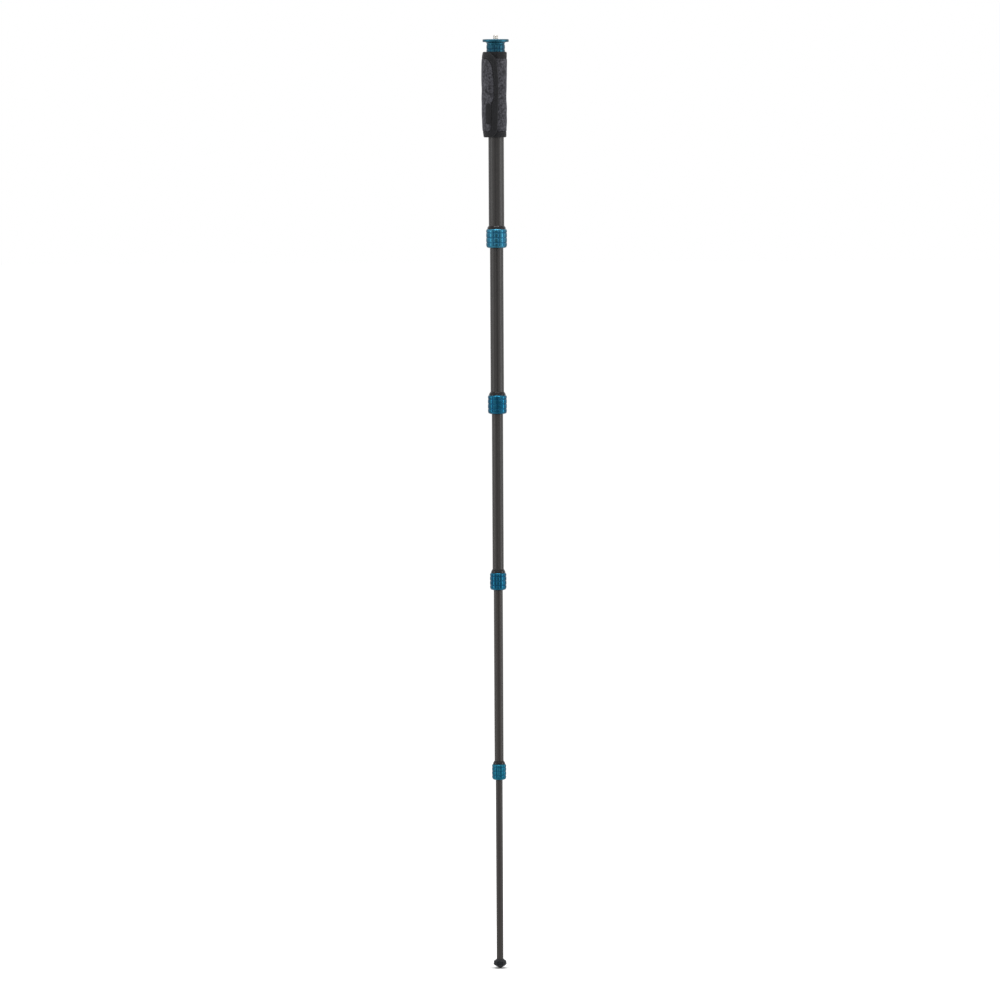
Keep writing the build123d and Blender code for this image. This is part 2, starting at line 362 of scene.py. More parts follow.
def slab_faces(rows, columns):
    """Faces over two like grids of points, one below the other, joined round their rims."""
    below = rows * columns
    faces = grid_faces(rows, columns, False, False)
    faces += [tuple(reversed(face)) for face in grid_faces(rows, columns, False, False, below)]
    rim = [i * columns for i in range(rows)]
    rim += [(rows - 1) * columns + j for j in range(1, columns)]
    rim += [i * columns + columns - 1 for i in range(rows - 2, -1, -1)]
    rim += list(range(columns - 2, 0, -1))
    return faces + [(a, a + below, b + below, b) for a, b in zip(rim, rim[1:] + rim[:1])]


def rounded(corners):
    """An outline with round corners, from (radius, height, rounding) points."""
    made = []
    for i, (x, y, rounding) in enumerate(corners):
        if rounding == 0 or i == 0 or i == len(corners) - 1:
            made.append((x, y))
            continue
        here = np.array((x, y))
        back = np.array(corners[i - 1][:2]) - here
        on = np.array(corners[i + 1][:2]) - here
        back_length = hypot(*back)
        on_length = hypot(*on)
        back = back / back_length
        on = on / on_length
        half = np.arccos(np.clip(back @ on, -1, 1)) / 2
        reach = min(rounding / tan(half), back_length / 2, on_length / 2)
        first = here + back * reach
        last = here + on * reach
        for k in range(corner_samples + 1):
            t = k / corner_samples
            made.append(tuple((1 - t) ** 2 * first + 2 * t * (1 - t) * here + t ** 2 * last))
    return made


def refined(outline, step):
    """The outline with points added so that none are further apart than step."""
    made = [outline[0]]
    for a, b in zip(outline, outline[1:]):
        count = max(1, ceil(hypot(b[0] - a[0], b[1] - a[1]) / step))
        made += [(a[0] + (b[0] - a[0]) * k / count, a[1] + (b[1] - a[1]) * k / count)
                 for k in range(1, count + 1)]
    return made


def lathe(name, outline, closed=False, samples=round_samples, ripple=None):
    """A solid of revolution; ripple, if given, is the radius added at (radius, height, angle)."""
    angles = np.arange(samples) * 2 * pi / samples
    outline = np.array(outline)
    radius = np.repeat(outline[:, :1], samples, axis=1)
    height = np.repeat(outline[:, 1:], samples, axis=1)
    if ripple:
        radius = radius + ripple(radius, height, angles[None, :])
    points = np.stack([radius * np.cos(angles), radius * np.sin(angles), height], axis=2)
    faces = grid_faces(len(outline), samples, closed, True)
    return finish_mesh(name, points.reshape(-1, 3), faces)


def column_depths(radius):
    """Angles round one turn, the angle from the nearest pad's middle, and the depths of crown and flute."""
    count = pad_columns * column_samples
    angles = np.arange(count) * 2 * pi / count
    half_column = pi / pad_columns
    local = (angles + half_column) % (2 * half_column) - half_column
    across = radius * np.tan(np.abs(local))
    half_pitch = radius * tan(half_column)
    pad_half = half_pitch - flute_width / 2
    crown = pad_crown * np.clip(across / pad_half, 0, 1) ** 2
    into = np.clip((across - pad_half) / (half_pitch - pad_half), 0, 1)
    return angles, local, crown, (flute_depth - pad_crown) * np.sin(into * pi / 2)


def padded_ring(name, radius, outside, inside, turn, band):
    """A ring with columns of pads outside, from its outside and bore outlines, both low to high.

    band is the lowest and highest height of its ribs.
    """
    angles, local, crown, flute = column_depths(radius)
    rows = []
    levels = []
    recess_shade = []
    for ring_radius, level in refined(outside, row_step):
        depth = radius - ring_radius
        sunk = np.maximum(flute, depth) if band[0] < level < band[1] else np.maximum(flute - depth, 0)
        # Painted shade: the share of darkening in flutes and grooves
        recess_shade.append(np.clip((sunk - rib_crown) / (groove_depth - rib_crown), 0, 1))
        deeper = (depth + flute + np.sqrt((depth - flute) ** 2 + edge_softness ** 2)) / 2
        rows.append((radius - crown - deeper) / np.cos(local))
        levels.append(level)
    for ring_radius, level in reversed(inside):
        rows.append(np.full_like(angles, ring_radius))
        recess_shade.append(np.zeros_like(angles))
        levels.append(level)
    radii = np.array(rows)
    height = np.repeat(np.array(levels)[:, None], len(angles), axis=1)
    turned = angles + radians(turn) - pi / 2
    points = np.stack([radii * np.cos(turned), radii * np.sin(turned), height], axis=2)
    faces = grid_faces(len(rows), len(angles), True, True)
    return finish_mesh(name, points.reshape(-1, 3), faces, mild_angle, np.array(recess_shade))


def ribbed(radius, low, high, grooves):
    """Outline of a ribbed band: crowned ribs between narrow grooves."""
    edges = [low] + list(grooves) + [high]
    made = []
    for i, (start, end) in enumerate(zip(edges, edges[1:])):
        rib_low = start if i == 0 else start + groove_half_width
        rib_high = end if i == len(edges) - 2 else end - groove_half_width
        middle = (start + end) / 2
        reach = (end - start) / 2 - groove_half_width
        for k in range(rib_samples + 1):
            height = rib_low + (rib_high - rib_low) * k / rib_samples
            crown = rib_crown * min(1.0, abs(height - middle) / reach) ** 2
            made.append((radius - crown, height))
        if i < len(edges) - 2:
            made.append((radius - (groove_depth + rib_crown) / 2, end - groove_half_width / 2))
            made.append((radius - groove_depth, end))
            made.append((radius - (groove_depth + rib_crown) / 2, end + groove_half_width / 2))
    return made


def srgb(red, green, blue):
    """A colour for a shader, from its 0 to 255 screen values."""
    shares = [value / 255 for value in (red, green, blue)]
    return [s / 12.92 if s <= 0.04045 else ((s + 0.055) / 1.055) ** 2.4 for s in shares] + [1.0]


def add(tree, kind, inputs=None, **attributes):
    """A new node with its attributes set and its inputs linked or given."""
    made = tree.nodes.new("ShaderNode" + kind)
    for key, value in attributes.items():
        setattr(made, key, value)
    for key, value in (inputs or {}).items():
        socket = made.inputs[key]
        if isinstance(value, bpy.types.NodeSocket):
            tree.links.new(value, socket)
        else:
            socket.default_value = value
    return made


def maths(tree, operation, first, second=0.0):
    """The result of a Math node."""
    return add(tree, "Math", {0: first, 1: second}, operation=operation).outputs[0]


def weighted_sum(tree, *terms):
    """The sum of (value, weight) terms."""
    products = [maths(tree, "MULTIPLY", value, weight) for value, weight in terms]
    total = products[0]
    for product in products[1:]:
        total = maths(tree, "ADD", total, product)
    return total


def new_material(name, settings):
    """A material with its Principled shader's sockets set. Returns it, its tree and its shader."""
    made = bpy.data.materials.new(name)
    made.use_nodes = True
    tree = made.node_tree
    shader = tree.nodes["Principled BSDF"]
    for socket, value in settings.items():
        shader.inputs[socket].default_value = value
    return made, tree, shader


def feed(tree, shader, socket, value):
    """Links a value that varies over the surface to a shader's socket."""
    tree.links.new(value, shader.inputs[socket])


def place(tree):
    """The object's own coordinates, in metres."""
    return add(tree, "TexCoord").outputs["Object"]


def place_parts(tree):
    """The object's own x, y and z, in metres."""
    return add(tree, "SeparateXYZ", {0: place(tree)}).outputs


def noise(tree, size, detail=usual_detail):
    """Noise with blotches of that size in millimetres."""
    made = add(tree, "TexNoise", {"Vector": place(tree), "Scale": 1 / (size * mm), "Detail": detail})
    return made.outputs["Fac"]


def ramp(tree, factor, stops):
    """A colour ramp through (place, colour) stops."""
    made = add(tree, "ValToRGB", {"Fac": factor})
    elements = made.color_ramp.elements
    elements[0].position, elements[0].color = stops[0]
    elements[1].position, elements[1].color = stops[-1]
    for position, colour in stops[1:-1]:
        elements.new(position).color = colour
    return made.outputs["Color"]


def spread(tree, value, low, high):
    """A 0 to 1 value mapped to low to high."""
    return add(tree, "MapRange", {"Value": value, "To Min": low, "To Max": high}).outputs["Result"]


def bump(tree, shader, height, depth, strength=1.0):
    """Bump on a shader, with the height of a full step in millimetres."""
    made = add(tree, "Bump", {"Height": height, "Distance": depth * mm, "Strength": strength})
    feed(tree, shader, "Normal", made.outputs["Normal"])


def painted_recess_shade(tree, colour, dark):
    """The colour, turned towards a dark one in seams and grooves, as painted shade."""
    sunk = add(tree, "Attribute", attribute_name="recess_shade").outputs["Fac"]
    factor = maths(tree, "MULTIPLY", sunk, recess_shade_share)
    return add(tree, "Mix", {"Factor": factor, "A": colour, "B": dark}, data_type="RGBA").outputs["Result"]


def anodised(name, colour, deep, groove_shade, roughness):
    """Blasted and anodised aluminium, with a fine grain, faint cloudiness and painted shade in its grooves
    and flutes.
    """
    made, tree, shader = new_material(name, {"Metallic": 1.0})
    dyed = ramp(tree, noise(tree, anodised_cloud), [(0.3, deep), (0.7, colour)])
    # Flutes and grooves painted darker, as painted shade
    feed(tree, shader, "Base Color", painted_recess_shade(tree, dyed, groove_shade))
    grain = noise(tree, anodised_grain, fine_detail)
    varied = spread(tree, grain, roughness - anodised_smoother, roughness + anodised_rougher)
    feed(tree, shader, "Roughness", varied)
    bump(tree, shader, grain, anodised_bump)
    return made


def carbon(name, radius, warmth):
    """Clear-coated twill of carbon tows, laid on the bias round a tube, with a warmer or cooler resin; the
    upper tows are painted lighter as painted sheen, and each tow's crown as a painted highlight.
    """
    made, tree, shader = new_material(name, {"Coat Weight": 0.2, "Coat Roughness": 0.3, "IOR": 1.42})
    parts = place_parts(tree)
    count = 2 * round(pi * radius / tow_width)
    turn = maths(tree, "ARCTAN2", parts["Y"], parts["X"])
    across_pole = maths(tree, "MULTIPLY", turn, count / (2 * pi))
    along_pole = maths(tree, "DIVIDE", parts["Z"], tow_width * mm)
    rising = maths(tree, "ADD", across_pole, along_pole)
    falling = maths(tree, "SUBTRACT", across_pole, along_pole)
    step = maths(tree, "ADD", maths(tree, "FLOOR", rising), maths(tree, "FLOOR", falling))
    quarter = maths(tree, "FRACT", maths(tree, "DIVIDE", step, twill_repeat))
    over = maths(tree, "LESS_THAN", quarter, 0.5)
    across = add(tree, "Mix", {"Factor": over, "A": maths(tree, "FRACT", rising),
                               "B": maths(tree, "FRACT", falling)}).outputs["Result"]
    crown = maths(tree, "SINE", maths(tree, "MULTIPLY", across, pi))
    fibres = noise(tree, tow_fibre, fine_detail)
    # Upper tows painted lighter as painted sheen, each tow's crown as a painted highlight, and the fibres'
    # own random tone
    tone = weighted_sum(tree, (over, 0.45), (crown, 0.35), (fibres, 0.2))
    redder = 0.6 * warmth
    less_blue = 0.4 * warmth
    dark = srgb(24 + redder, 23, 23 - less_blue)
    light = srgb(48 + redder, 46, 45 - less_blue)
    feed(tree, shader, "Base Color", ramp(tree, tone, [(0.0, dark), (1.0, light)]))
    feed(tree, shader, "Roughness", spread(tree, over, 0.38, 0.5))
    bump(tree, shader, crown, tow_bump, 0.5)
    return made


def black_gloss(name):
    """Polished black anodising with light handling marks."""
    made, tree, shader = new_material(name, {"Coat Weight": 0.06, "Coat Roughness": 0.06,
                                             "Specular IOR Level": 0.28})
    smears = noise(tree, smear_size)
    feed(tree, shader, "Base Color", ramp(tree, smears, [(0.3, srgb(6, 6, 8)), (0.75, srgb(14, 12, 16))]))
    feed(tree, shader, "Roughness", spread(tree, smears, 0.1, 0.2))
    return made


def steel(name):
    """Turned stainless steel."""
    made, tree, shader = new_material(name, {"Metallic": 1.0})
    along_pole = maths(tree, "DIVIDE", place_parts(tree)["Z"], turning_mark * mm)
    rings = add(tree, "TexNoise", {"Scale": 1.0, "W": along_pole}, noise_dimensions="1D").outputs["Fac"]
    colour = ramp(tree, rings, [(0.3, srgb(206, 200, 193)), (0.7, srgb(240, 237, 232))])
    feed(tree, shader, "Base Color", colour)
    feed(tree, shader, "Roughness", spread(tree, rings, 0.18, 0.3))
    return made


def bare_aluminium(name):
    """Machined aluminium."""
    made, tree, shader = new_material(name, {"Metallic": 1.0})
    grain = noise(tree, aluminium_grain)
    colour = ramp(tree, grain, [(0.3, srgb(190, 190, 194)), (0.7, srgb(214, 214, 218))])
    feed(tree, shader, "Base Color", colour)
    feed(tree, shader, "Roughness", spread(tree, grain, 0.25, 0.4))
    return made


def moulded(name, colour, light, roughness, gloss=0.5):
    """Moulded plastic or rubber with a fine spark-eroded skin."""
    made, tree, shader = new_material(name, {"IOR": 1.5, "Specular IOR Level": gloss})
    blotches = noise(tree, moulded_blotch)
    feed(tree, shader, "Base Color", ramp(tree, blotches, [(0.3, colour), (0.75, light)]))
    grain = noise(tree, moulded_grain, fine_detail)
    varied = spread(tree, grain, roughness - moulded_rougher, roughness + moulded_rougher)
    feed(tree, shader, "Roughness", varied)
    bump(tree, shader, grain, moulded_bump)
    return made


def felt(name):
    """Brushed fleece over foam: mottled, speckled, with a soft sheen and painted shade along its seams with
    the tape.
    """
    made, tree, shader = new_material(name, {"Roughness": 0.95, "Specular IOR Level": 0.15,
                                             "Sheen Weight": 0.2, "Sheen Roughness": 0.5})
    shader.inputs["Sheen Tint"].default_value = srgb(190, 188, 200)
    blotches = noise(tree, fleece_blotch, rich_detail)
    speckles = noise(tree, fleece_speckle, fine_detail)
    mixed = weighted_sum(tree, (blotches, 0.6), (speckles, 0.4))
    colour = ramp(tree, mixed, [
        (0.36, srgb(28, 28, 30)),
        (0.5, srgb(62, 62, 66)),
        (0.64, srgb(93, 93, 99)),
    ])
    # Painted shade along the seams beside the tape
    feed(tree, shader, "Base Color", painted_recess_shade(tree, colour, srgb(14, 14, 16)))
    fibres = noise(tree, fleece_fibre, rich_detail)
    bump(tree, shader, maths(tree, "ADD", fibres, mixed), fleece_bump, 0.8)
    return made


def tape(name, dark, light, rib):
    """Woven tape with ribs along the pole and crossing threads, and painted shade at its folds and seams.
    """
    made, tree, shader = new_material(name, {"Roughness": 0.75, "Specular IOR Level": 0.25,
                                             "Sheen Weight": 0.15, "Sheen Roughness": 0.4})
    parts = place_parts(tree)
    wave = maths(tree, "SINE", maths(tree, "MULTIPLY", parts["Z"], 2 * pi / (rib * mm)))
    turn = maths(tree, "ARCTAN2", parts["Y"], parts["X"])
    cross = maths(tree, "SINE", maths(tree, "MULTIPLY", turn, threads_round_pole))
    weave = maths(tree, "MULTIPLY", wave, cross)
    tone = maths(tree, "ADD", maths(tree, "MULTIPLY", weave, 0.3), noise(tree, cloth_blotch))
    woven = ramp(tree, tone, [(0.2, dark), (0.8, light)])
    # Painted shade at the tape's folds and seams
    feed(tree, shader, "Base Color", painted_recess_shade(tree, woven, srgb(6, 6, 7)))
    bump(tree, shader, weave, cloth_bump, 0.7)
    return made


# Anodised blues: the first collar's copy is lighter as painted light, and the neck's copy is darker as
# painted shade under the plate
blue = anodised("blue_anodised", srgb(34, 100, 126), srgb(22, 82, 108), srgb(8, 50, 84), 0.24)
blue_painted_lit = anodised("blue_anodised_painted_lit", srgb(56, 118, 142), srgb(42, 102, 126), srgb(14, 62, 96), 0.31)
blue_low = anodised("blue_anodised_low", srgb(38, 112, 134), srgb(26, 94, 116), srgb(10, 62, 92), 0.3)
blue_plate = anodised("blue_anodised_plate", srgb(48, 99, 118), srgb(34, 83, 101), srgb(8, 46, 74), 0.38)
blue_neck_painted_shade = anodised("blue_anodised_neck_painted_shade", srgb(44, 88, 105), srgb(30, 72, 89), srgb(8, 40, 66), 0.34)
collar_blues = [blue_painted_lit, blue, blue, blue_low]
black = black_gloss("black_anodised")
bright_steel = steel("steel")
aluminium = bare_aluminium("bare_aluminium")
collet_plastic = moulded("collet_plastic", srgb(34, 34, 36), srgb(48, 48, 50), 0.5)
shim_plastic = moulded("shim_plastic", srgb(196, 192, 182), srgb(212, 208, 198), 0.45)
seal_rubber = moulded("seal_rubber", srgb(24, 24, 25), srgb(34, 34, 35), 0.7)
foot_rubber = moulded("foot_rubber", srgb(10, 12, 16), srgb(24, 27, 33), 0.34, 0.2)
grip_felt = felt("grip_felt")
grip_tape = tape("grip_tape", srgb(12, 12, 14), srgb(33, 34, 37), tape_rib)
fastener_cloth = tape("hook_and_loop", srgb(26, 26, 27), srgb(44, 44, 46), fastener_rib)
label_cloth = tape("label_weave", srgb(16, 16, 18), srgb(28, 28, 31), label_rib)
thread = tape("stitch_thread", srgb(40, 40, 43), srgb(62, 62, 66), thread_rib)


def dress(piece, body, slot, material, *replaced):
    """Gives a piece its material and its body, and hides the CAD nodes that it stands for."""
    piece.data.materials.clear()
    piece.data.materials.append(material)
    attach(piece, body)
    if replaced:
        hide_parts(*replaced)


def repaint(node, material):
    """A new material on a CAD node that keeps its shape."""
    for slot in nodes[node].material_slots:
        slot.material = material


def section_body(section):
    """Name of the body that carries a section, counted from 1 at the top."""
    return "top_section" if section == 1 else f"section_{section}"


# Tubes and the pieces inside the locks keep their CAD shapes
tube_radii = []
for section in range(1, tube_count + 1):
    radius = radius_of(f"tube_{section}")
    tube_radii.append(radius)
    repaint(f"tube_{section}", carbon(f"carbon_{section}", radius, carbon_warmths[section - 1]))
    if section > 1:
        repaint(f"guide_shims_{section}", shim_plastic)
for lock in range(1, lock_count + 1):
    repaint(f"collet_{lock}", collet_plastic)
    repaint(f"seal_ring_{lock}", seal_rubber)
repaint("foot_plug", aluminium)
repaint("grip_loop_strip", fastener_cloth)
repaint("grip_hook_strip", fastener_cloth)


# Twist locks
def collar(lock):
    """Twist collar with soft-edged pads, hollow for the lock inside."""
    base, top = heights(f"collar_{lock + 1}")
    outer, inner = tube_radii[lock], tube_radii[lock + 1]
    radius = outer + collar_walls[lock]
    grooves = [base + share * (top - base) for share in groove_place_shares]
    outside = rounded([
        (inner + collar_toe_face, base, 0),
        (radius - collar_hip_in, base + collar_toe_height, collar_hip_round),
        (radius - rib_crown, base + collar_hip_height, 0),
    ])
    band = (base + collar_hip_height, top - collar_top_bevel)
    outside += ribbed(radius, *band, grooves)
    outside.append((radius - rib_crown - collar_bevel_in, top))
    inside = [
        (inner + collar_lip_gap, base),
        (inner + collar_lip_gap, base + collar_lip_height),
        (inner + collar_pocket_gap, base + collar_lip_height),
        (inner + collar_pocket_gap, base + collar_floor_lift),
        (outer + collar_bore_gap, base + collar_floor_lift),
        (outer + collar_bore_gap, top),
    ]
    made = padded_ring(f"collar_{lock + 1}_pads", radius, outside, inside, collar_turns[lock], band)
    dress(made, f"collar_body_{lock + 1}", "blue_anodised", collar_blues[lock], f"collar_{lock + 1}")


def lock_body(lock):
    """Lock body with a soft-edged cone above the collar."""
    base, top = heights(f"lock_body_{lock + 1}")
    shoulder = heights(f"collar_{lock + 1}")[1] + cone_gap
    outer, inner = tube_radii[lock], tube_radii[lock + 1]
    radius = outer + collar_walls[lock]
    seat = base + seat_lift
    bulge_radius = (radius - cone_shoulder_inset + outer) / 2 + cone_bulge
    corners = [
        (outer + mouth_gap, base, 0),
        (outer + sleeve_gap, base, 0),
        (outer + sleeve_gap, shoulder, 0),
        (radius - cone_shoulder_inset, shoulder, cone_foot_round),
        (bulge_radius, (shoulder + top) / 2, cone_round),
        (outer + socket_gap + cone_edge, top, cone_top_round),
        (outer + socket_gap, top, 0),
        (outer + socket_gap, seat, 0),
        (inner + web_reach, seat, 0),
    ]
    made = lathe(f"lock_cone_{lock + 1}", rounded(corners), closed=True)
    dress(made, section_body(lock + 1), "black_anodised", black, f"lock_body_{lock + 1}")


for lock in range(lock_count):
    collar(lock)
    lock_body(lock)


# Head
grip_low, grip_high = heights("grip_binding")
grip_length = grip_high - grip_low


def neck():
    """Fluted neck sleeve with two beads of pads."""
    base, top = heights("neck_sleeve")
    radius = tube_radii[0] + neck_wall
    outside = [(radius - rib_crown, base)]
    band = (grip_high - neck_groove_height / 2, top - neck_waist_height)
    outside += ribbed(radius, *band, [grip_high + neck_groove_height])
    outside.append((radius - neck_waist_depth, top))
    inside = [
        (tube_radii[0] + neck_socket_gap, base),
        (tube_radii[0] + neck_socket_gap, top - neck_roof),
        (neck_tail_radius, top - neck_roof),
        (neck_tail_radius, top),
    ]
    made = padded_ring("neck_beads", radius, outside, inside, neck_turn, band)
    dress(made, "top_section", "blue_anodised", blue_neck_painted_shade, "neck_sleeve")


def camera_plate():
    """Plate with a rounded rim and a waisted root."""
    base, top = heights("camera_plate")
    radius = radius_of("camera_plate")
    under = top - plate_thickness
    corners = [
        (plate_pocket_radius, base, 0),
        (plate_foot_radius, base, 0),
        (plate_foot_radius + plate_root_flare, under - plate_root_drop, plate_root_round),
        (plate_root_radius, under, plate_root_round),
        (radius, under, plate_round),
        (radius, top, plate_round),
        (stud_radius + plate_bore_gap, top, 0),
        (stud_radius + plate_bore_gap, base + stud_flange_height, 0),
        (plate_pocket_radius, base + stud_flange_height, 0),
    ]
    made = lathe("camera_plate_disc", rounded(corners), closed=True, samples=plate_samples)
    dress(made, "top_section", "blue_anodised", blue_plate, "camera_plate")


def camera_stud():
    """Stud with its thread cut as one helix."""
    base, top = heights("camera_stud")
    plate_top = top - stud_shown
    plate_base = heights("camera_plate")[0]
    flange_top = plate_base + stud_flange_height
    outline = [
        (0.0, base),
        (stud_tail_radius, base),
        (stud_tail_radius, plate_base),
        (stud_flange_radius, plate_base),
        (stud_flange_radius, flange_top),
        (stud_radius - stud_relief, flange_top),
        (stud_radius - stud_relief, plate_top),
    ]
    for k in range(stud_thread_rows + 1):
        outline.append((stud_radius, plate_top + stud_shown * k / stud_thread_rows))
    outline.append((0.0, top))

    def cut(radius, height, angle):
        """Depth of the thread and its lead-in at a height and angle."""
        phase = (height / stud_thread_pitch - angle / (2 * pi)) % 1.0
        depth = stud_thread_depth * (1 - np.abs(2 * phase - 1))
        lead = np.clip(stud_lead_in - (top - height), 0, stud_lead_in)
        on_thread = (height >= plate_top) & (radius > stud_radius - stud_relief / 2)
        return -np.where(on_thread, np.maximum(depth, lead), 0.0)

    made = lathe("camera_stud_thread", outline, samples=stud_samples, ripple=cut)
    dress(made, "top_section", "steel", bright_steel, "camera_stud")


neck()
camera_plate()
camera_stud()


# Foot
def rubber_foot():
    """Rubber foot with soft edges and shallow facets round its band."""
    top = heights("rubber_foot")[1]
    corners = [
        (0.0, 0.0, 0),
        (foot_tip_radius, 0.0, foot_edge_round),
        (foot_band_radius, foot_band_height, foot_edge_round),
        (foot_shoulder_radius, foot_shoulder_height, foot_shoulder_round),
        (tube_radii[-1] + foot_lip, top, foot_lip_round),
        (foot_socket_radius, top, 0),
        (foot_socket_radius, top - foot_socket_depth, 0),
        (0.0, top - foot_socket_depth, 0),
    ]

    def facets(radius, height, angle):
        """Shallow scallops on the band and the shoulder."""
        band = np.clip((radius - facet_start) / facet_run, 0, 1)
        return -facet_depth * band * np.abs(np.sin(angle * pad_columns / 2)) ** facet_power

    outline = refined(rounded(corners), foot_row_step)
    made = lathe("rubber_foot_skin", outline, ripple=facets)
    dress(made, "section_5", "foot_rubber", foot_rubber, "rubber_foot")


rubber_foot()


# Grip: a padded panel wrapped round the tube and over its own edge
wrap_inner_radius = tube_radii[0] + grip_gap
wrap_outer_radius = wrap_inner_radius + pad_thickness
flap_inner_radius = wrap_outer_radius + fastening_space
flap_outer_radius = flap_inner_radius + pad_thickness
flap_end_angle = free_edge_angle + full_turn
climb_end_angle = inner_edge_angle + full_turn - edge_gap_angle
climb_start_angle = climb_end_angle - climb_angle
panel_length = radians(flap_end_angle - inner_edge_angle) * flap_outer_radius
waves = [(random.uniform(*wave_rates), random.uniform(*wave_rates), random.uniform(0, 2 * pi))
         for _ in range(wave_count)]


def along_height(stops, share):
    """Value at a share of the height, eased between stops."""
    places = [stop[0] for stop in stops]
    values = [stop[1] for stop in stops]
    shifts = (-height_blend_share, 0.0, height_blend_share)
    sums = sum(np.interp(np.clip(share + shift, 0, 1), places, values) for shift in shifts)
    return sums / len(shifts)


def ease(value):
    """Smooth step from 0 to 1."""
    value = np.clip(value, 0, 1)
    return value * value * (3 - 2 * value)


def rumple(distance, height):
    """Small random swells of the fleece, from about -1 to 1."""
    total = sum(np.sin(distance * a + height * b * (-1) ** i + c) for i, (a, b, c) in enumerate(waves))
    return total / wave_level


def panel_radii(distance, height):
    """Angle and radii of the wrapped panel, by distance from the free edge and height above its foot."""
    share = height / grip_length
    lean = along_height(edge_lean_by_share, share) * (1 - distance / panel_length)
    angle = flap_end_angle + lean - np.degrees(distance / flap_outer_radius)
    climb = ease((angle - climb_start_angle) / climb_angle)
    flap = along_height(flap_draw_in_by_share, share)
    turn = along_height(turn_draw_in_by_share, share)
    covered = ease((angle - (inner_edge_angle - cover_start_angle)) / cover_start_angle)
    covered = covered * ease((free_edge_angle + cover_overlap_angle - angle) / cover_end_angle)
    under_flap = np.minimum(flap, cover_draw_limit) * cover_draw_share
    first = covered * under_flap + (1 - covered) * turn
    outer = (wrap_outer_radius - first) * (1 - climb) + (flap_outer_radius - flap) * climb
    thickness = pad_thickness - thinning_share * (flap * climb + np.maximum(first, 0) * (1 - climb))
    return angle, outer - thickness, outer


def panel_point(distance, height, share, lift=0.0):
    """A point in the panel: share is 0 on its inner face and 1 on its outer; lift is added outwards."""
    angle, inner, outer = panel_radii(distance, height)
    radius = inner + share * (outer - inner) + lift
    turn = np.radians(angle)
    return np.stack([radius * np.sin(turn), -radius * np.cos(turn), grip_low + height], axis=-1)


def panel_corners(height):
    """Both rounded corners: the distance from their end, their rounding and that end's tape width."""
    return ((height, flap_bottom_round, bottom_tape_width),
            (grip_length - height, flap_top_round, top_tape_width))


def corner_cut(distance, corner_round):
    """How far a rounded corner takes the panel's end in, at a distance from the free edge."""
    beyond = np.clip(corner_round - distance, 0, corner_round)
    return corner_round - np.sqrt(corner_round ** 2 - beyond ** 2)


def edge_distance(distance, height):
    """Distance in from the panel's taped outline, with its two rounded corners."""
    inset = np.minimum(np.minimum(distance, height), grip_length - height)
    for from_end, corner_round, _ in panel_corners(height):
        in_corner = (distance < corner_round) & (from_end < corner_round)
        reach = np.hypot(corner_round - distance, corner_round - from_end)
        inset = np.where(in_corner, corner_round - reach, inset)
    return inset


def side_tape_width(height):
    """Width of the tape down the free edge."""
    return along_height(side_tape_width_by_share, height / grip_length)


def corner_tape_width(share, first, last):
    """Width of the tape part of the way round a corner, a little wider at the middle."""
    return first + (last - first) * share + corner_tape_swell * np.sin(share * pi)


def tape_reach(distance, height):
    """Width of the tape nearest to a point of the panel."""
    side = side_tape_width(height)
    reach = np.where(distance < np.minimum(height, grip_length - height), side, top_tape_width)
    reach = np.where((height < grip_length / 2) & (distance > height), bottom_tape_width, reach)
    for from_end, corner_round, end_width in panel_corners(height):
        across = np.maximum(corner_round - distance, 0)
        beyond = np.maximum(corner_round - from_end, 0)
        share = np.arctan2(beyond, across) / (pi / 2)
        in_corner = (across > 0) & (beyond > 0)
        reach = np.where(in_corner, corner_tape_width(share, side, end_width), reach)
    return reach


def grip_pad():
    """Fleece-faced foam, sunk under the tape along its edges and swelling beside it."""
    along = np.linspace(0, 1, pad_mesh_columns)[:, None] ** pad_crowding_power * panel_length
    low_edge = corner_cut(along, flap_bottom_round) + tape_thickness
    high_edge = grip_length - corner_cut(along, flap_top_round) - tape_thickness
    spots = np.linspace(0, 1, pad_mesh_rows)[None, :]
    height = low_edge * (1 - spots) + high_edge * spots
    distance = tape_thickness + along * (panel_length - 2 * tape_thickness) / panel_length
    distance = np.repeat(distance, pad_mesh_rows, axis=1)
    rim = edge_distance(distance, height)
    beyond = rim - tape_reach(distance, height)
    swell = ease(beyond / swell_run + swell_start_share)
    lift = -tape_thickness + swell * (tape_thickness + felt_swell)
    lift = lift + swell * rumple_depth * rumple(distance, height)
    thin = ease(rim / rim_run)
    outer = panel_point(distance, height, (1 + thin) / 2, lift * thin)
    inner = panel_point(distance, height, (1 - thin) / 2, tape_thickness * thin)
    points = np.concatenate([outer.reshape(-1, 3), inner.reshape(-1, 3)])
    # Painted shade along the fleece's seam with the tape
    seam_shade = ease(1 - np.abs(beyond) / seam_shade_reach)
    recess_shade = np.concatenate([seam_shade.ravel(), np.zeros(seam_shade.size)])
    faces = slab_faces(pad_mesh_columns, pad_mesh_rows)
    made = finish_mesh("grip_fleece", points, faces, soft_angle, recess_shade)
    dress(made, "top_section", "grip_felt", grip_felt, "grip_pad")


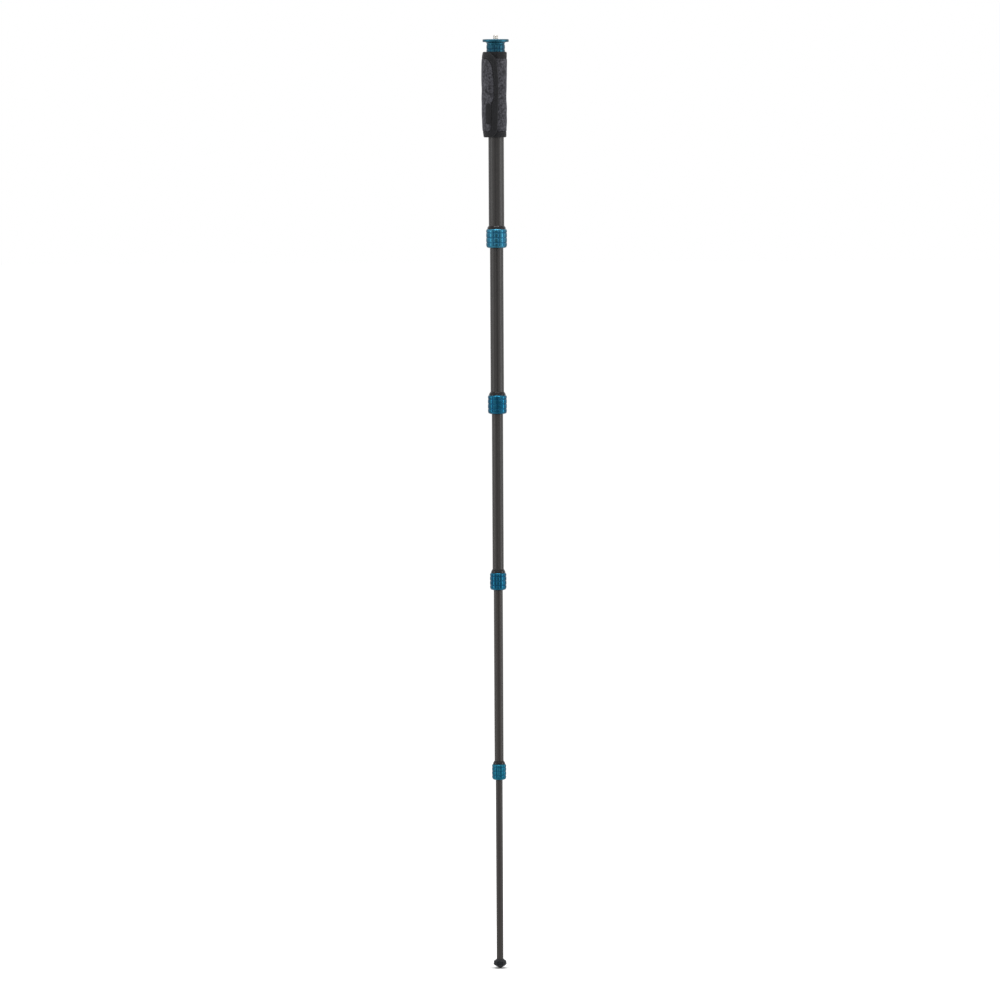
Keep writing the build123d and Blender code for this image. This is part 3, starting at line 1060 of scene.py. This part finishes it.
def tape_path(step):
    """Points (distance, height), inward normals and tape widths along the panel's outline."""
    path = []

    def straight(start, end, normal, width):
        """Adds a straight stretch; without a width, it has the free edge's."""
        count = max(2, ceil(hypot(end[0] - start[0], end[1] - start[1]) / step))
        for k in range(count):
            share = k / count
            distance = start[0] + (end[0] - start[0]) * share
            height = start[1] + (end[1] - start[1]) * share
            path.append((distance, height, *normal, width or side_tape_width(height)))

    def corner(centre, corner_round, first, last, first_width, last_width):
        """Adds an arc between two angles, with the tape's width at both ends."""
        for k in range(tape_corner_steps):
            share = k / tape_corner_steps
            turn = radians(first + (last - first) * share)
            distance = centre[0] + corner_round * cos(turn)
            height = centre[1] + corner_round * sin(turn)
            width = corner_tape_width(share, first_width, last_width)
            path.append((distance, height, -cos(turn), -sin(turn), width))

    low = flap_bottom_round
    high = grip_length - flap_top_round
    low_width = side_tape_width(low)
    high_width = side_tape_width(high)
    straight((panel_length, 0), (flap_bottom_round, 0), (0, 1), bottom_tape_width)
    corner((flap_bottom_round, low), flap_bottom_round, 270, 180, bottom_tape_width, low_width)
    straight((0, low), (0, high), (1, 0), None)
    corner((flap_top_round, high), flap_top_round, 180, 90, high_width, top_tape_width)
    straight((flap_top_round, grip_length), (panel_length, grip_length), (0, -1), top_tape_width)
    path.append((panel_length, grip_length, 0, -1, top_tape_width))
    return np.array(path)


def grip_tape_band():
    """Woven tape folded over the panel's edges, as one band with its thickness."""
    path_distance, path_height, inward, upward, width = tape_path(tape_step).T
    steps = len(width)
    turns = [pi / 2 - pi * k / tape_fold_samples for k in range(tape_fold_samples + 1)]
    profile = [(1 - k / tape_fold_samples, 1.0) for k in range(tape_fold_samples)]
    profile += [(-cos(turn), (1 + sin(turn)) / 2) for turn in turns]
    profile += [(k / tape_fold_samples, 0.0) for k in range(1, tape_fold_samples + 1)]
    section = [(across, share, 0.0) for across, share in profile]
    section += [(across, share, 1.0) for across, share in reversed(profile)]
    rows = []
    recess_shade = []
    for across, share, inside in section:
        folded = max(-across, 0.0)
        reach = np.where(across >= 0, tape_fold + across * (width - tape_fold), tape_fold * (1 + across))
        # Painted shade beside the fold and along the seam with the fleece
        seam_shade = ease((across - (1 - tape_seam_shade_share)) / tape_seam_shade_share)
        recess_shade.append(ease(1 - (reach + tape_fold) / tape_fold_shade) + seam_shade)
        reach = reach + inside * tape_thickness * folded * tape_fold_in_share
        distance = np.clip(path_distance + inward * reach, 0, panel_length)
        height = path_height + upward * reach
        lift = -inside * tape_thickness * tape_sink_share * (2 * share - 1)
        rows.append(panel_point(distance, height, share, lift))
    count = len(section)
    ends = [i * steps for i in range(count)]
    faces = grid_faces(count, steps, True, False)
    faces.append(ends)
    faces.append([end + steps - 1 for end in reversed(ends)])
    points = np.array(rows).reshape(-1, 3)
    made = finish_mesh("grip_tape_band", points, faces, soft_angle, np.array(recess_shade))
    dress(made, "top_section", "grip_tape", grip_tape, "grip_binding")


def stitches():
    """Stitches along the tape's inner edge, each a small sunk bead of thread."""
    path = tape_path(stitch_path_step)
    lengths = np.concatenate([[0], np.cumsum(np.hypot(np.diff(path[:, 0]), np.diff(path[:, 1])))])
    points = []
    faces = []
    for k in range(int(lengths[-1] / stitch_pitch)):
        first = len(points)
        for i in range(stitch_rings):
            share = i / (stitch_rings - 1)
            at = stitch_pitch * k + stitch_length * share
            distance, height, inward, upward, width = [np.interp(at, lengths, values) for values in path.T]
            girth = stitch_radius * sqrt(max(stitch_end_share, 1 - (2 * share - 1) ** 2))
            for j in range(stitch_sides):
                turn = 2 * pi * j / stitch_sides
                reach = width - stitch_margin + girth * cos(turn)
                points.append(panel_point(distance + inward * reach, height + upward * reach, 1.0,
                                          girth * sin(turn)))
        faces += grid_faces(stitch_rings, stitch_sides, False, True, first)
        faces.append([first + j for j in reversed(range(stitch_sides))])
        faces.append([first + (stitch_rings - 1) * stitch_sides + j for j in range(stitch_sides)])
    made = finish_mesh("grip_stitches", points, faces, soft_angle)
    dress(made, "top_section", "grip_tape", thread)


def grip_label():
    """Bare woven label with rounded ends, sewn on the flap."""
    half = label_width / 2
    up = np.repeat(np.linspace(0, label_length, label_rows)[:, None], label_columns, axis=1)
    height = label_low + up
    near = np.minimum(np.minimum(up, label_length - up), half)
    narrow = np.maximum(np.sqrt(half ** 2 - (half - near) ** 2), label_end_width / 2)
    x = narrow * np.linspace(-1, 1, label_columns) - label_right - half
    lean = along_height(edge_lean_by_share, height / grip_length)
    angle = free_edge_angle + lean - np.degrees(np.arcsin(x / flap_outer_radius))
    distance = np.radians(angle) * flap_outer_radius
    face = panel_point(distance, height, 1.0, felt_swell + label_thickness)
    back = panel_point(distance, height, 1.0, felt_swell - label_sink)
    points = np.concatenate([face.reshape(-1, 3), back.reshape(-1, 3)])
    faces = slab_faces(label_rows, label_columns)
    made = finish_mesh("grip_label_patch", points, faces, mild_angle)
    dress(made, "top_section", "label_weave", label_cloth, "grip_label")


grip_pad()
grip_tape_band()
stitches()
grip_label()


# Studio
def world():
    """White to the camera and in reflections, and a plain level of light on the rest."""
    made = bpy.data.worlds.new("studio")
    made.use_nodes = True
    tree = made.node_tree
    back = tree.nodes["Background"]
    back.inputs["Color"].default_value = (1, 1, 1, 1)
    path = add(tree, "LightPath").outputs
    seen = maths(tree, "MAXIMUM", path["Is Camera Ray"],
                 maths(tree, "MAXIMUM", path["Is Glossy Ray"], path["Is Transmission Ray"]))
    tree.links.new(spread(tree, seen, world_strength, 1.0), back.inputs["Strength"])
    bpy.context.scene.world = made


def floor():
    """White floor that keeps the object's shadow."""
    points = [(-floor_reach, -floor_reach, 0), (floor_reach, -floor_reach, 0),
              (floor_reach, floor_reach, 0), (-floor_reach, floor_reach, 0)]
    made = finish_mesh("floor", points, [(0, 1, 2, 3)])
    made.location.z = -floor_drop * mm
    surface, tree, shader = new_material("floor", {"Roughness": 1.0, "Specular IOR Level": 0.0})
    shader.inputs["Base Color"].default_value = (1.0, 1.0, 1.0, 1.0)
    shader.inputs["Emission Color"].default_value = (1.0, 1.0, 1.0, 1.0)
    seen = add(tree, "LightPath").outputs["Is Camera Ray"]
    away = add(tree, "VectorMath", {0: place(tree)}, operation="LENGTH").outputs["Value"]
    lifted = add(tree, "MapRange", {
        "Value": away,
        "From Min": floor_shadow_radius * mm,
        "From Max": floor_lit_radius * mm,
        "To Min": 0.0,
        "To Max": floor_emission,
    }).outputs["Result"]
    feed(tree, shader, "Emission Strength", maths(tree, "MULTIPLY", seen, lifted))
    made.data.materials.append(surface)


def lamp(name, place_mm, target_mm, width, height, radiance):
    """A soft rectangular lamp, aimed at a point."""
    light = bpy.data.lights.new(name, "AREA")
    light.shape = "RECTANGLE"
    light.size = width * mm
    light.size_y = height * mm
    light.energy = radiance * pi * (width * mm) * (height * mm)
    made = bpy.data.objects.new(name, light)
    bpy.context.scene.collection.objects.link(made)
    here = Vector(place_mm) * mm
    made.location = here
    made.rotation_euler = (Vector(target_mm) * mm - here).to_track_quat("-Z", "Y").to_euler()
    made.visible_camera = False


def dark_studio():
    """Dark room in front of the pole, seen only in reflections."""
    near_half_width = dark_half_width / 3
    points = [
        (-dark_half_width, -dark_away, 0),
        (dark_half_width, -dark_away, 0),
        (dark_half_width, -dark_away, dark_height),
        (-dark_half_width, -dark_away, dark_height),
        (-near_half_width, -dark_near, 0),
        (near_half_width, -dark_near, 0),
    ]
    made = finish_mesh("dark_studio", points, [(0, 1, 2, 3), (0, 1, 5, 4)])
    surface, tree, shader = new_material("dark_studio", {"Roughness": 1.0, "Specular IOR Level": 0.0})
    up = maths(tree, "DIVIDE", place_parts(tree)["Z"], dark_fade_height * mm)
    colour = ramp(tree, up, [(0.0, srgb(190, 190, 192)), (1.0, srgb(24, 24, 26))])
    feed(tree, shader, "Base Color", colour)
    made.data.materials.append(surface)
    made.visible_camera = False
    made.visible_diffuse = False
    made.visible_shadow = False
    made.visible_transmission = False


def camera():
    """Camera at the photograph's viewing angle."""
    data = bpy.data.cameras.new("camera")
    data.lens = camera_lens
    data.clip_end = camera_clip_end * mm
    made = bpy.data.objects.new("camera", data)
    bpy.context.scene.collection.objects.link(made)
    pan = Matrix.Rotation(radians(camera_pan), 4, "Z")
    tilt = Matrix.Rotation(radians(90 - camera_tilt), 4, "X")
    roll = Matrix.Rotation(radians(camera_roll), 4, "Z")
    spot = Matrix.Translation((0, -camera_distance * mm, camera_height * mm))
    made.matrix_world = spot @ pan @ tilt @ roll
    bpy.context.scene.camera = made


world()
floor()
dark_studio()
for settings in lamps:
    lamp(*settings)
camera()

bpy.context.scene.view_settings.view_transform = "Standard"
